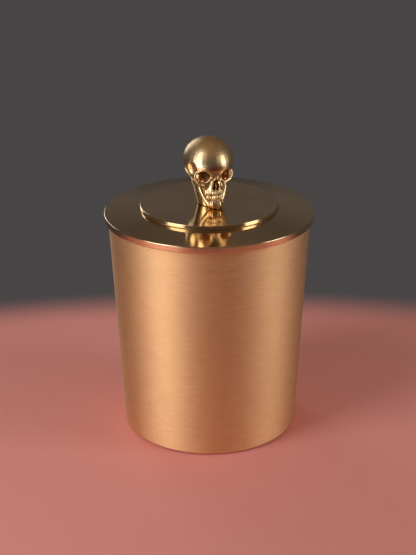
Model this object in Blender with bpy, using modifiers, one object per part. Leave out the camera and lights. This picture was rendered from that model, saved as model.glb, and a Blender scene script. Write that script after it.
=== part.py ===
"""Skull candle holder: a tapered spun-brass vessel with a poured candle, and a turned lid with a cast skull finial.

Lengths are in metres and +Z is up. The origin is on the vessel's axis, on the surface that it stands on,
and the skull looks along -Y.
"""

import math

import bmesh
import bpy
import numpy as np
from mathutils import Matrix, Vector

# Fits
CONTACT_GAP = 0.0003
WALL_STEPS = 64
INNER_STEPS = 48
SMALL_STEPS = 32

# Vessel: a spun cup that narrows towards its foot
VESSEL_TOP_RADIUS = 0.0457
VESSEL_FOOT_RADIUS = 0.0407
VESSEL_RIM_HEIGHT = 0.1011
VESSEL_WALL = 0.0015
VESSEL_FLOOR = 0.0018
VESSEL_FOOT_ROUNDING = 0.0011
VESSEL_FOOT_LIFT = 0.0006
VESSEL_RIM_ROUNDING = 0.0005

# Base pad under the vessel
PAD_RADIUS = 0.0370
PAD_THICKNESS = 0.0016
PAD_EDGE_ROUNDING = 0.0003

# Candle
WAX_FILL_HEIGHT = 0.0740
WAX_DISH_DEPTH = 0.0016
WICK_RADIUS = 0.0011
WICK_ABOVE_WAX = 0.0070
WICK_TRIM_LEAN = 0.0012
TAB_RADIUS = 0.0100
TAB_THICKNESS = 0.0005
TAB_COLLAR_RADIUS = 0.0021
TAB_COLLAR_HEIGHT = 0.0050

# Lid: one turned plate whose flange rises a little to a step above, with a locating rim below
LID_RADIUS = 0.0475
LID_FLANGE_THICKNESS = 0.0030
LID_FLANGE_RISE = 0.0016
LID_EDGE_CHAMFER = 0.00032
LID_STEP_RADIUS = 0.0312
LID_STEP_HEIGHT = 0.0018
LID_STEP_CHAMFER = 0.00020
LID_WEB = 0.0024
LID_RIM_CLEARANCE = 0.0018
LID_RIM_WALL = 0.0024
LID_RIM_DEPTH = 0.0054
SEAL_HEIGHT = 0.0026
SEAL_GROOVE_DEPTH = 0.0009
SEAL_LIP = 0.00025

# Finial screw and washer
SCREW_RADIUS = 0.0015
SCREW_HEAD_RADIUS = 0.00275
SCREW_HEAD_HEIGHT = 0.0018
SCREW_DEPTH_IN_SKULL = 0.0062
SCREW_SLOT_WIDTH = 0.0008
SCREW_SLOT_DEPTH = 0.0008
WASHER_RADIUS = 0.0040
WASHER_THICKNESS = 0.0006

# Skull: one casting, drawn at DRAWN_SIZE in millimetres and scaled to these three sizes
SKULL_WIDTH = 0.0225
SKULL_LENGTH = 0.0249
SKULL_HEIGHT = 0.0302
SKULL_DRAWN_SIZE = (22.5, 24.9, 30.2)
SKULL_CLAY_VOXEL = 0.00028
SKULL_FINISH_VOXEL = 0.00022
SKULL_TRIANGLES = 5600

# Heights and radii that follow from the sizes above
vessel_under = VESSEL_FOOT_LIFT
pad_seat = PAD_THICKNESS + CONTACT_GAP
vessel_floor_top = pad_seat + VESSEL_FLOOR
wax_bottom = vessel_floor_top + CONTACT_GAP
lid_seat = VESSEL_RIM_HEIGHT + CONTACT_GAP
lid_flange_top = lid_seat + LID_FLANGE_THICKNESS
lid_step_foot = lid_flange_top + LID_FLANGE_RISE
lid_step_top = lid_step_foot + LID_STEP_HEIGHT
lid_recess_top = lid_step_top - LID_WEB
skull_base = lid_step_top + CONTACT_GAP
screw_hole_radius = SCREW_RADIUS + CONTACT_GAP


def vessel_outer_radius(height):
    """Radius of the vessel's outer wall at a height: a straight taper from foot to rim."""
    share = (height - vessel_under) / (VESSEL_RIM_HEIGHT - vessel_under)
    return VESSEL_FOOT_RADIUS + share * (VESSEL_TOP_RADIUS - VESSEL_FOOT_RADIUS)


def vessel_inner_radius(height):
    return vessel_outer_radius(height) - VESSEL_WALL


# Scene, collections and materials


def clear_scene():
    for obj in list(bpy.data.objects):
        bpy.data.objects.remove(obj, do_unlink=True)


def new_collection(name):
    collection = bpy.data.collections.new(name)
    bpy.context.scene.collection.children.link(collection)
    return collection


def new_material(name, colour, roughness, metallic):
    material = bpy.data.materials.new(name)
    material.use_nodes = True
    material.diffuse_color = (*colour, 1.0)
    shader = material.node_tree.nodes["Principled BSDF"]
    shader.inputs["Base Color"].default_value = (*colour, 1.0)
    shader.inputs["Roughness"].default_value = roughness
    shader.inputs["Metallic"].default_value = metallic
    return material


def new_object(name, mesh, collection, material=None):
    obj = bpy.data.objects.new(name, mesh)
    collection.objects.link(obj)
    if material:
        mesh.materials.append(material)
    return obj


def as_cutter(obj):
    obj.hide_render = True
    obj.display_type = "WIRE"
    return obj


# Turned pieces


def arc(centre, radius, start, end, steps):
    """Points of a round in the profile plane, from one angle to another in degrees."""
    points = []
    for i in range(steps + 1):
        angle = math.radians(start + (end - start) * i / steps)
        points.append((centre[0] + radius * math.cos(angle), centre[1] + radius * math.sin(angle)))
    return points


def turned(name, profile, collection, material, steps=WALL_STEPS):
    """A closed profile of (radius, height) points, clockwise seen with +X right, turned about Z."""
    mesh = bpy.data.meshes.new(name)
    count = len(profile)
    mesh.from_pydata(
        [(radius, 0.0, height) for radius, height in profile],
        [(i, (i + 1) % count) for i in range(count)],
        [],
    )
    return add_screw(new_object(name, mesh, collection, material), steps)


def turned_solid(name, profile, collection, material, steps=WALL_STEPS):
    """An open profile that starts and ends on the axis, from the top down the outside, turned about Z."""
    mesh = bpy.data.meshes.new(name)
    mesh.from_pydata(
        [(radius, 0.0, height) for radius, height in profile],
        [(i, i + 1) for i in range(len(profile) - 1)],
        [],
    )
    return add_screw(new_object(name, mesh, collection, material), steps)


def add_screw(obj, steps):
    screw = obj.modifiers.new("Turn", "SCREW")
    screw.axis = "Z"
    screw.angle = 2 * math.pi
    screw.steps = steps
    screw.render_steps = steps
    screw.use_merge_vertices = True
    screw.merge_threshold = 1e-6
    screw.use_smooth_shade = True
    return even_normals(obj)


def even_normals(obj):
    """Keeps flat faces flat to the eye, with the rounding of the shading left to the narrow edge faces."""
    weighted = obj.modifiers.new("Even normals", "WEIGHTED_NORMAL")
    weighted.mode = "FACE_AREA"
    weighted.weight = 100
    return obj


def make_vessel(collection, material):
    """Cup with a rounded rim, a rounded foot and a shallow seat for the pad underneath."""
    rim_outer = vessel_outer_radius(VESSEL_RIM_HEIGHT)
    rim_inner = vessel_inner_radius(VESSEL_RIM_HEIGHT)
    rim_round = VESSEL_RIM_ROUNDING
    foot_round = VESSEL_FOOT_ROUNDING
    inner_round = VESSEL_FOOT_ROUNDING + VESSEL_WALL
    inner_foot = vessel_inner_radius(vessel_floor_top)
    pad_hole = PAD_RADIUS + CONTACT_GAP
    profile = [(0.0, vessel_floor_top)]
    profile += arc((inner_foot - inner_round, vessel_floor_top + inner_round), inner_round, 270, 357, 4)
    profile += arc((rim_inner + rim_round, VESSEL_RIM_HEIGHT - rim_round), rim_round, 180, 90, 2)
    profile += arc((rim_outer - rim_round, VESSEL_RIM_HEIGHT - rim_round), rim_round, 90, 0, 2)
    profile += arc((VESSEL_FOOT_RADIUS - foot_round, vessel_under + foot_round), foot_round, -3, -90, 4)
    profile += [(pad_hole, vessel_under), (pad_hole, pad_seat), (0.0, pad_seat)]
    return turned_solid("vessel", profile, collection, material)


def make_base_pad(collection, material):
    """Soft disc set into the underside, which the holder stands on."""
    rounding = PAD_EDGE_ROUNDING
    profile = [(0.0, PAD_THICKNESS)]
    profile += arc((PAD_RADIUS - rounding, PAD_THICKNESS - rounding), rounding, 90, 0, 2)
    profile += arc((PAD_RADIUS - rounding, rounding), rounding, 0, -90, 2)
    profile += [(0.0, 0.0)]
    return turned_solid("base_pad", profile, collection, material, INNER_STEPS)


# Candle


def make_wick_tab(collection, material):
    """Pressed steel disc with a collar that grips the wick, at the bottom of the wax."""
    bore = WICK_RADIUS + CONTACT_GAP
    top = wax_bottom + TAB_THICKNESS
    profile = [
        (bore, wax_bottom + TAB_COLLAR_HEIGHT),
        (TAB_COLLAR_RADIUS, wax_bottom + TAB_COLLAR_HEIGHT),
        (TAB_COLLAR_RADIUS, top + 2 * TAB_THICKNESS),
        (TAB_COLLAR_RADIUS + 2 * TAB_THICKNESS, top),
        (TAB_RADIUS, top),
        (TAB_RADIUS, wax_bottom),
        (bore, wax_bottom),
    ]
    return turned("wick_tab", profile, collection, material, SMALL_STEPS)


def make_candle_wax(collection, material):
    """Poured wax: it follows the wall, dishes where it cooled, and is open for the wick and its tab."""
    wall = vessel_inner_radius(WAX_FILL_HEIGHT) - CONTACT_GAP
    inner_round = VESSEL_FOOT_ROUNDING + VESSEL_WALL
    foot = vessel_inner_radius(wax_bottom + inner_round) - CONTACT_GAP
    bore = WICK_RADIUS + CONTACT_GAP
    collar_bore = TAB_COLLAR_RADIUS + CONTACT_GAP
    tab_bore = TAB_RADIUS + CONTACT_GAP
    tab_roof = wax_bottom + TAB_THICKNESS + CONTACT_GAP
    profile = []
    dish_steps = 5
    for i in range(dish_steps + 1):
        share = i / dish_steps
        radius = bore + share * (wall - bore)
        rise = WAX_DISH_DEPTH * (share**4 + 0.18 * (1 - share) ** 6)
        profile.append((radius, WAX_FILL_HEIGHT - WAX_DISH_DEPTH + rise))
    profile += arc((foot - inner_round, wax_bottom + inner_round), inner_round, -3, -90, 4)
    profile += [
        (tab_bore, wax_bottom),
        (tab_bore, tab_roof),
        (collar_bore + 2 * TAB_THICKNESS, tab_roof),
        (collar_bore, tab_roof + 2 * TAB_THICKNESS),
        (collar_bore, wax_bottom + TAB_COLLAR_HEIGHT + CONTACT_GAP),
        (bore, wax_bottom + TAB_COLLAR_HEIGHT + 3 * CONTACT_GAP),
    ]
    return turned("candle_wax", profile, collection, material, INNER_STEPS)


def make_wick(collection, material):
    """Braided wick from the tab to above the wax, with its trimmed end leaning a little."""
    surface = WAX_FILL_HEIGHT - WAX_DISH_DEPTH
    curve = bpy.data.curves.new("wick", "CURVE")
    curve.dimensions = "3D"
    curve.bevel_depth = WICK_RADIUS
    curve.bevel_resolution = 2
    curve.use_fill_caps = True
    spline = curve.splines.new("POLY")
    heights = [wax_bottom + CONTACT_GAP, surface / 2, surface]
    places = [Vector((0.0, 0.0, height)) for height in heights]
    for share in (0.35, 0.7, 1.0):
        places.append(Vector((WICK_TRIM_LEAN * share**2, 0.0, surface + share * WICK_ABOVE_WAX)))
    spline.points.add(len(places) - 1)
    for point, place in zip(spline.points, places):
        point.co = (*place, 1.0)
    return new_object("wick", curve, collection, material)


# Lid


def seal_groove():
    """(inner radius, lowest height, highest height) of the groove that holds the seal."""
    rim_outer = vessel_inner_radius(VESSEL_RIM_HEIGHT) - LID_RIM_CLEARANCE
    middle = lid_seat - LID_RIM_DEPTH / 2
    half = SEAL_HEIGHT / 2 + CONTACT_GAP
    return rim_outer - SEAL_GROOVE_DEPTH, middle - half, middle + half


def make_lid(collection, material):
    """Turned plate: raised step above, locating rim with a seal groove below, bored for the screw."""
    rim_outer = vessel_inner_radius(VESSEL_RIM_HEIGHT) - LID_RIM_CLEARANCE
    groove_radius, groove_low, groove_high = seal_groove()
    rim_inner = rim_outer - LID_RIM_WALL
    rim_low = lid_seat - LID_RIM_DEPTH
    recess_radius = LID_STEP_RADIUS - LID_WEB
    edge = LID_EDGE_CHAMFER
    step_edge = LID_STEP_CHAMFER
    profile = [
        (screw_hole_radius, lid_step_top),
        (LID_STEP_RADIUS - step_edge, lid_step_top),
        (LID_STEP_RADIUS, lid_step_top - step_edge),
        (LID_STEP_RADIUS, lid_step_foot),
        (LID_RADIUS - edge, lid_flange_top),
        (LID_RADIUS, lid_flange_top - edge),
        (LID_RADIUS, lid_seat + edge),
        (LID_RADIUS - edge, lid_seat),
        (rim_outer, lid_seat),
        (rim_outer, groove_high),
        (groove_radius, groove_high),
        (groove_radius, groove_low),
        (rim_outer, groove_low),
        (rim_outer, rim_low + edge),
        (rim_outer - edge, rim_low),
        (rim_inner + edge, rim_low),
        (rim_inner, rim_low + edge),
        (rim_inner, lid_seat),
        (recess_radius, lid_seat),
        (recess_radius - step_edge, lid_recess_top),
        (screw_hole_radius, lid_recess_top),
    ]
    return turned("lid", profile, collection, material)


def make_lid_seal(collection, material):
    """Silicone ring with two lips, seated in the groove and reaching to the vessel's wall."""
    groove_radius, groove_low, groove_high = seal_groove()
    low = groove_low + CONTACT_GAP
    high = groove_high - CONTACT_GAP
    inner = groove_radius + CONTACT_GAP
    outer = vessel_inner_radius(low) - CONTACT_GAP
    root = outer - 2 * SEAL_LIP
    middle = (low + high) / 2
    quarter = (high - low) / 4
    profile = [
        (inner, high),
        (root, high),
        (outer, middle + quarter),
        (root, middle),
        (outer, middle - quarter),
        (root, low),
        (inner, low),
    ]
    return turned("lid_seal", profile, collection, material, INNER_STEPS)


# Finial fastening


def make_finial_washer(collection, material):
    high = lid_recess_top - CONTACT_GAP
    low = high - WASHER_THICKNESS
    profile = [
        (screw_hole_radius, high),
        (WASHER_RADIUS, high),
        (WASHER_RADIUS, low),
        (screw_hole_radius, low),
    ]
    return turned("finial_washer", profile, collection, material, SMALL_STEPS)


def make_finial_screw(collection, cutters, material):
    """Pan-head screw up through the lid into the casting, with a straight slot in its head."""
    head_top = lid_recess_top - 2 * CONTACT_GAP - WASHER_THICKNESS
    head_low = head_top - SCREW_HEAD_HEIGHT
    tip = skull_base + SCREW_DEPTH_IN_SKULL
    dome = SCREW_HEAD_HEIGHT / 3
    profile = [
        (0.0, tip),
        (SCREW_RADIUS * 0.6, tip),
        (SCREW_RADIUS, tip - SCREW_RADIUS * 0.4),
        (SCREW_RADIUS, head_top),
        (SCREW_HEAD_RADIUS, head_top),
        (SCREW_HEAD_RADIUS, head_low + 2 * dome),
        (SCREW_HEAD_RADIUS * 0.93, head_low + dome),
        (SCREW_HEAD_RADIUS * 0.70, head_low),
        (0.0, head_low),
    ]
    screw = turned_solid("finial_screw", profile, collection, material, SMALL_STEPS)
    bpy.ops.mesh.primitive_cube_add(size=1.0, location=(0.0, 0.0, head_low))
    slot = as_cutter(bpy.context.active_object)
    slot.name = "screw_slot"
    slot.scale = (3 * SCREW_HEAD_RADIUS, SCREW_SLOT_WIDTH, 2 * SCREW_SLOT_DEPTH)
    move_to(slot, cutters)
    cut(screw, slot, "Slot")
    return screw


def move_to(obj, collection):
    for owner in list(obj.users_collection):
        owner.objects.unlink(obj)
    collection.objects.link(obj)


def cut(obj, cutter, name):
    boolean = obj.modifiers.new(name, "BOOLEAN")
    boolean.operation = "DIFFERENCE"
    boolean.object = cutter
    return boolean


# Skull: masses joined like clay, softened, hollowed, given teeth, and finished

# Masses of the head. name, centre, radii (x, y, z), lean in degrees about X, mirrored or not
SKULL_MASSES = (
    ("cranium", (0.0, 1.0, 19.5), (11.35, 12.5, 10.7), 0, False),
    ("forehead", (0.0, -4.1, 18.5), (9.1, 7.3, 8.4), 0, False),
    ("occiput", (0.0, 5.6, 15.1), (8.2, 7.6, 7.6), 0, False),
    ("skull base", (0.0, 0.6, 10.8), (7.8, 8.0, 7.0), 0, False),
    ("upper face", (0.0, -5.0, 14.1), (7.5, 4.5, 4.8), 0, False),
    ("maxilla", (0.0, -6.0, 9.1), (4.1, 4.6, 4.8), 0, False),
    ("cheek slope", (3.7, -6.2, 10.8), (3.1, 2.9, 2.3), 0, True),
    ("nasal bridge", (0.0, -9.2, 14.2), (1.15, 1.9, 3.2), -16, False),
    ("tooth bed", (0.0, -6.1, 6.0), (3.9, 3.9, 3.2), 0, False),
)

# Solid neck behind the jaw: (radius, height) pairs, its centre in y, and its depth over its width
SKULL_NECK = ((5.2, -1.0), (5.3, 0.0), (6.3, 4.0), (7.6, 9.5))
SKULL_NECK_CENTRE_Y = -0.5
SKULL_NECK_DEPTH_RATIO = 1.05

# Hollows pressed into the clay. name, centre, radii, direction of the press, mirrored or not
SKULL_HOLLOWS = (
    ("orbit", (5.45, -9.6, 14.65), (3.05, 4.2, 2.75), (0, 1, 0), True),
    ("orbit depth", (4.7, -8.4, 14.6), (1.8, 3.8, 1.8), (0, 1, 0), True),
    ("nasal opening low", (0.65, -10.6, 10.0), (1.05, 3.0, 1.5), (0, 1, 0), True),
    ("nasal opening high", (0.0, -10.6, 11.5), (1.0, 2.7, 2.1), (0, 1, 0), False),
    ("temple", (13.2, -6.9, 16.9), (5.2, 5.0, 6.6), (-1, 0, 0), True),
    ("behind the cheek", (9.9, -4.0, 11.1), (2.6, 2.8, 3.4), (-1, 0, 0), True),
    ("cheek hollow", (5.7, -8.4, 7.9), (1.35, 3.6, 2.7), (0, 1, 0), True),
)

# Raised rim round each eye socket: centre, radii across and up, thickness, outward turn in degrees
SKULL_ORBIT_RIM_CENTRE = (5.45, -8.0, 14.9)
SKULL_ORBIT_RIM = (3.45, 3.15)
SKULL_ORBIT_RIM_RADIUS = 0.52
SKULL_ORBIT_TURN = 24.0

# Points down one side of the lower jaw, each with its radius
SKULL_JAW = (
    ((6.0, -4.2, 10.7), 0.9),
    ((5.4, -5.2, 7.8), 1.1),
    ((4.5, -6.2, 5.4), 1.2),
    ((3.5, -7.1, 3.5), 1.45),
    ((2.4, -8.1, 2.1), 1.8),
    ((1.2, -8.7, 1.9), 1.9),
)

# Points back along one cheek arch, each with its radius
SKULL_ARCH = (
    ((7.6, -5.6, 12.6), 0.7),
    ((8.0, -2.6, 12.4), 0.55),
    ((7.9, 0.6, 12.2), 0.55),
    ((7.4, 2.4, 12.1), 0.7),
)

# Finer forms added to the pressed clay, as the masses are
SKULL_FEATURES = (
    ("chin", (0.0, -8.0, 1.9), (3.2, 3.3, 2.8), 0, False),
    ("chin boss", (1.3, -10.0, 2.0), (1.25, 1.2, 1.9), 0, True),
    ("socket's outer wall", (7.5, -5.6, 14.9), (0.8, 2.3, 2.8), 0, True),
    ("cheekbone", (6.5, -6.4, 12.2), (1.9, 1.6, 1.2), 0, True),
    ("nose side", (1.8, -9.2, 12.3), (0.6, 0.95, 2.9), -10, True),
    ("nasal spine", (0.0, -9.2, 10.5), (0.26, 1.2, 2.1), 0, False),
)

# Teeth: height, arch radius, centre of the arch in y, radii of a tooth, teeth on each side
SKULL_TOOTH_ROWS = (
    (7.30, 3.95, -6.2, (0.45, 0.58, 1.20), 6),
    (5.15, 3.80, -6.2, (0.42, 0.55, 1.00), 6),
)
SKULL_TOOTH_SPREAD = 80.0
SKULL_TEETH_SINK = 0.15


def drawn(place):
    """A point of the drawn skull, in millimetres from its base, at the skull's real size and place."""
    scale = [size / whole for size, whole in zip((SKULL_WIDTH, SKULL_LENGTH, SKULL_HEIGHT), SKULL_DRAWN_SIZE)]
    return Vector((place[0] * scale[0], place[1] * scale[1], skull_base + place[2] * scale[2]))


def drawn_scale():
    sizes = (SKULL_WIDTH, SKULL_LENGTH, SKULL_HEIGHT)
    return Vector([size / whole for size, whole in zip(sizes, SKULL_DRAWN_SIZE)])


def unit_ball():
    """The ball that every form is a stretched copy of."""
    bm = bmesh.new()
    bmesh.ops.create_uvsphere(bm, u_segments=24, v_segments=14, radius=1.0)
    mesh = bpy.data.meshes.new("unit_ball")
    bm.to_mesh(mesh)
    bm.free()
    return mesh


def add_ellipsoid(bm, centre, radii, lean=0.0, turn=0.0):
    place = (
        Matrix.Translation(drawn(centre))
        @ Matrix.Diagonal((*drawn_scale(), 1.0))
        @ Matrix.Rotation(math.radians(turn), 4, "Z")
        @ Matrix.Rotation(math.radians(lean), 4, "X")
        @ Matrix.Diagonal((*radii, 1.0))
    )
    ball = bpy.data.meshes.get("unit_ball") or unit_ball()
    stretched = ball.copy()
    stretched.transform(place)
    bm.from_mesh(stretched)
    bpy.data.meshes.remove(stretched)


def add_forms(bm, forms):
    for _, centre, radii, lean, mirrored in forms:
        add_ellipsoid(bm, centre, radii, lean)
        if mirrored:
            add_ellipsoid(bm, (-centre[0], centre[1], centre[2]), radii, lean)


def add_string(bm, points):
    """A string of balls on each side, close enough to merge."""
    links = 5
    for (start, start_radius), (end, end_radius) in zip(points, points[1:]):
        for i in range(links):
            share = i / links
            centre = Vector(start).lerp(Vector(end), share)
            radius = start_radius + share * (end_radius - start_radius)
            for side in (1, -1):
                add_ellipsoid(bm, (side * centre.x, centre.y, centre.z), (radius,) * 3)


def add_orbit_rims(bm):
    """A ring of balls round each socket, in a plane that is turned outwards."""
    turn = math.radians(SKULL_ORBIT_TURN)
    count = 28
    for side in (1, -1):
        for i in range(count):
            angle = 2 * math.pi * i / count
            across = SKULL_ORBIT_RIM[0] * math.cos(angle)
            up = SKULL_ORBIT_RIM[1] * math.sin(angle)
            centre = (
                side * (SKULL_ORBIT_RIM_CENTRE[0] + across * math.cos(turn)),
                SKULL_ORBIT_RIM_CENTRE[1] + across * math.sin(turn),
                SKULL_ORBIT_RIM_CENTRE[2] + up,
            )
            add_ellipsoid(bm, centre, (SKULL_ORBIT_RIM_RADIUS,) * 3)


def add_neck(bm):
    """Cone frustums stacked from the base to under the cranium."""
    for (low_radius, low), (high_radius, high) in zip(SKULL_NECK, SKULL_NECK[1:]):
        place = (
            Matrix.Translation(drawn((0.0, SKULL_NECK_CENTRE_Y, (low + high) / 2)))
            @ Matrix.Diagonal((*drawn_scale(), 1.0))
            @ Matrix.Diagonal((1.0, SKULL_NECK_DEPTH_RATIO, 1.0, 1.0))
        )
        bmesh.ops.create_cone(
            bm,
            cap_ends=True,
            segments=32,
            radius1=low_radius,
            radius2=high_radius,
            depth=high - low + 0.4,
            matrix=place,
        )


def add_teeth(bm):
    for height, arch, centre_y, radii, count in SKULL_TOOTH_ROWS:
        for side in (1, -1):
            for i in range(count):
                angle = math.radians(SKULL_TOOTH_SPREAD * (i + 0.5) / count) * side
                reach = arch - SKULL_TEETH_SINK
                centre = (reach * math.sin(angle), centre_y - reach * math.cos(angle), height)
                add_ellipsoid(bm, centre, radii, 0.0, math.degrees(angle))


def form_object(name, collection, *adders):
    bm = bmesh.new()
    for adder in adders:
        adder(bm)
    mesh = bpy.data.meshes.new(name)
    bm.to_mesh(mesh)
    bm.free()
    return as_cutter(new_object(name, mesh, collection))


def add_remesh(obj, name, voxel):
    remesh = obj.modifiers.new(name, "REMESH")
    remesh.mode = "VOXEL"
    remesh.voxel_size = voxel
    remesh.use_smooth_shade = True
    return remesh


def add_smooth(obj, name, factor, iterations):
    smooth = obj.modifiers.new(name, "SMOOTH")
    smooth.factor = factor
    smooth.iterations = iterations
    return smooth


def evaluated_mesh(obj):
    graph = bpy.context.evaluated_depsgraph_get()
    return bpy.data.meshes.new_from_object(obj.evaluated_get(graph))


def press_hollows(mesh):
    """Presses each hollow into the clay: points inside its ellipsoid move on to the ellipsoid's far wall."""
    points = np.empty(len(mesh.vertices) * 3)
    mesh.vertices.foreach_get("co", points)
    points = points.reshape(-1, 3)
    scale = np.array(drawn_scale())
    for _, centre, radii, direction, mirrored in SKULL_HOLLOWS:
        for side in (1, -1) if mirrored else (1,):
            middle = np.array(drawn((side * centre[0], centre[1], centre[2])))
            axis = [abs(part) for part in direction].index(1)
            way = direction[axis] * (side if axis == 0 else 1)
            near = (points - middle) / (scale * radii)
            across = np.delete(near, axis, axis=1)
            room = 1.0 - (across**2).sum(axis=1)
            wall = np.sqrt(np.clip(room, 0.0, None))
            inside = (room > 0.0) & (np.abs(near[:, axis]) < wall)
            points[inside, axis] = middle[axis] + way * wall[inside] * scale[axis] * radii[axis]
    mesh.vertices.foreach_set("co", points.ravel())
    mesh.update()
    return mesh


def make_skull_finial(collection, cutters, material):
    """Masses merged and softened, hollows pressed in, features added, then cut flat and bored."""
    clay = form_object("skull_clay", cutters, lambda bm: add_forms(bm, SKULL_MASSES), add_neck)
    add_remesh(clay, "Merge masses", SKULL_CLAY_VOXEL)
    add_smooth(clay, "Blend masses", 0.5, 8)
    pressed = press_hollows(evaluated_mesh(clay))

    features = form_object(
        "skull_features",
        cutters,
        lambda bm: add_string(bm, SKULL_JAW),
        lambda bm: add_string(bm, SKULL_ARCH),
        add_orbit_rims,
        lambda bm: add_forms(bm, SKULL_FEATURES),
    )
    add_remesh(features, "Merge features", SKULL_CLAY_VOXEL)
    add_smooth(features, "Blend features", 0.5, 2)

    finish = bmesh.new()
    finish.from_mesh(pressed)
    finish.from_mesh(evaluated_mesh(features))
    add_teeth(finish)
    mesh = bpy.data.meshes.new("skull_finish")
    finish.to_mesh(mesh)
    finish.free()
    clay = as_cutter(new_object("skull_finish", mesh, cutters))
    add_remesh(clay, "Merge all", SKULL_FINISH_VOXEL)
    add_smooth(clay, "Polish", 0.5, 2)

    finished = evaluated_mesh(clay)
    skull = new_object("skull_finial", finished, collection, material)
    decimate = skull.modifiers.new("Lighten", "DECIMATE")
    decimate.ratio = min(1.0, SKULL_TRIANGLES / (2 * len(finished.polygons)))

    bpy.ops.mesh.primitive_cube_add(size=1.0, location=(0.0, 0.0, skull_base - SKULL_HEIGHT / 2))
    below = as_cutter(bpy.context.active_object)
    below.name = "skull_below_base"
    below.scale = (2 * SKULL_LENGTH, 2 * SKULL_LENGTH, SKULL_HEIGHT)
    move_to(below, cutters)
    cut(skull, below, "Flat base")

    bore_depth = SCREW_DEPTH_IN_SKULL + 2 * CONTACT_GAP
    bpy.ops.mesh.primitive_cylinder_add(
        vertices=32,
        radius=screw_hole_radius,
        depth=2 * bore_depth,
        location=(0.0, 0.0, skull_base),
    )
    bore = as_cutter(bpy.context.active_object)
    bore.name = "skull_bore"
    move_to(bore, cutters)
    cut(skull, bore, "Screw bore")
    return skull


def main():
    clear_scene()
    holder = new_collection("skull_candle_holder")
    cutters = new_collection("cutters")

    brushed_brass = new_material("brushed_brass", (0.62, 0.34, 0.14), 0.32, 1.0)
    polished_brass = new_material("polished_brass", (0.60, 0.40, 0.22), 0.08, 1.0)
    cast_brass = new_material("cast_brass", (0.70, 0.42, 0.16), 0.16, 1.0)
    felt = new_material("black_felt", (0.02, 0.018, 0.016), 0.95, 0.0)
    wax = new_material("ivory_wax", (0.80, 0.72, 0.58), 0.45, 0.0)
    cotton = new_material("cotton_wick", (0.78, 0.74, 0.66), 0.90, 0.0)
    steel = new_material("zinc_steel", (0.55, 0.55, 0.56), 0.30, 1.0)
    silicone = new_material("clear_silicone", (0.70, 0.70, 0.68), 0.35, 0.0)

    make_vessel(holder, brushed_brass)
    make_base_pad(holder, felt)
    make_candle_wax(holder, wax)
    make_wick_tab(holder, steel)
    make_wick(holder, cotton)
    make_lid(holder, polished_brass)
    make_lid_seal(holder, silicone)
    make_finial_washer(holder, steel)
    make_finial_screw(holder, cutters, steel)
    make_skull_finial(holder, cutters, cast_brass)


main()
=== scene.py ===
# %% [markdown]
# # A brass candle holder with a cast skull on its lid
# The holder is a spun brass cup that narrows towards its foot, brushed round its outside. A turned and
# polished lid rests in it, and a small skull, cast in brass, is the handle. The solids of every part come
# in first as a frame. The cup, the lid, the skull and the wick are then remade finer, because their
# roundings and their carving are what the light plays on, and every part gets a finish of its own.

# %% Bring in the frame
import math

import bmesh
import bpy
import numpy as np
from mathutils import Matrix, Vector


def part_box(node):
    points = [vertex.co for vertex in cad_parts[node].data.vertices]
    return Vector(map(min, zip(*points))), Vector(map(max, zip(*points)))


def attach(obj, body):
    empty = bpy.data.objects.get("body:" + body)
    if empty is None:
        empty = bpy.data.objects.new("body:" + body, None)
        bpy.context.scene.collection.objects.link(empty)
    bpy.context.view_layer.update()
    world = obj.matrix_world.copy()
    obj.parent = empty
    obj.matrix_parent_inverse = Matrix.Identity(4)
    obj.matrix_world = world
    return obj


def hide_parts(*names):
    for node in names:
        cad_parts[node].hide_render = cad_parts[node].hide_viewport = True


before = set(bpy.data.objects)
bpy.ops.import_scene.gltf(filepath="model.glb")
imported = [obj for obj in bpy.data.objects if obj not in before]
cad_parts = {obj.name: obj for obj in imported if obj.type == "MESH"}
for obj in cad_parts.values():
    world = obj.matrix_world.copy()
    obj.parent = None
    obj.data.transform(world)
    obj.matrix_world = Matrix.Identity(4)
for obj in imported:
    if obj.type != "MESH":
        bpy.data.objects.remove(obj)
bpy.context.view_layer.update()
scene = bpy.context.scene
print("parts:", ", ".join(sorted(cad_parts)))

# %% [markdown]
# ## Camera
# The view looks down at the holder by about 23 degrees, from a little to the skull's right. A camera's place
# can be found from two circles of known size, here the lid and the foot: how flat each looks gives the
# pitch, and how much smaller the lower one looks gives the distance. The lens is long for the frame, so the
# cup's taper stays what it is.

# %% Place the camera
LID_RADIUS = 0.0475
CAMERA_AZIMUTH = -18.0
CAMERA_DISTANCE = 11.2351 * LID_RADIUS
CAMERA_HEIGHT = 6.2217 * LID_RADIUS
CAMERA_PITCH = 0.3984
CAMERA_YAW = 0.0013
CAMERA_ROLL = -0.0054
SENSOR_WIDTH = 36.0
FOCAL_SHARE = 1250.0 / 555.0

camera_data = bpy.data.cameras.new("studio_camera")
camera_data.sensor_width = SENSOR_WIDTH
camera_data.lens = FOCAL_SHARE * SENSOR_WIDTH
camera = bpy.data.objects.new("studio_camera", camera_data)
camera.matrix_world = (
    Matrix.Rotation(math.radians(CAMERA_AZIMUTH), 4, "Z")
    @ Matrix.Translation((0.0, -CAMERA_DISTANCE, CAMERA_HEIGHT))
    @ Matrix.Rotation(CAMERA_YAW, 4, "Z")
    @ Matrix.Rotation(math.pi / 2 - CAMERA_PITCH, 4, "X")
    @ Matrix.Rotation(CAMERA_ROLL, 4, "Z")
)
scene.collection.objects.link(camera)
scene.camera = camera
print("lens in millimetres:", round(camera_data.lens, 1))

# %% [markdown]
# ## Light
# Metal shows its surroundings more than its own colour, so the light is laid out as the reflections need.
# A tall softbox stands at the left and gives the cup its bright band and the forehead its tall highlight.
# A smaller one at the right gives the second band. Between them the room stays dark, so the middle of the
# cup falls to a deep brown. A low strip near each softbox carries its highlight down over the brow, which
# leans forward and mirrors what is lower. A weak softbox behind parts the back of the cup from the dark.
# Daylight is a little cooler than the brass, so the highlights come out nearly white.

# %% Set up the softboxes
DAYLIGHT = (0.82, 0.94, 1.0)
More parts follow.
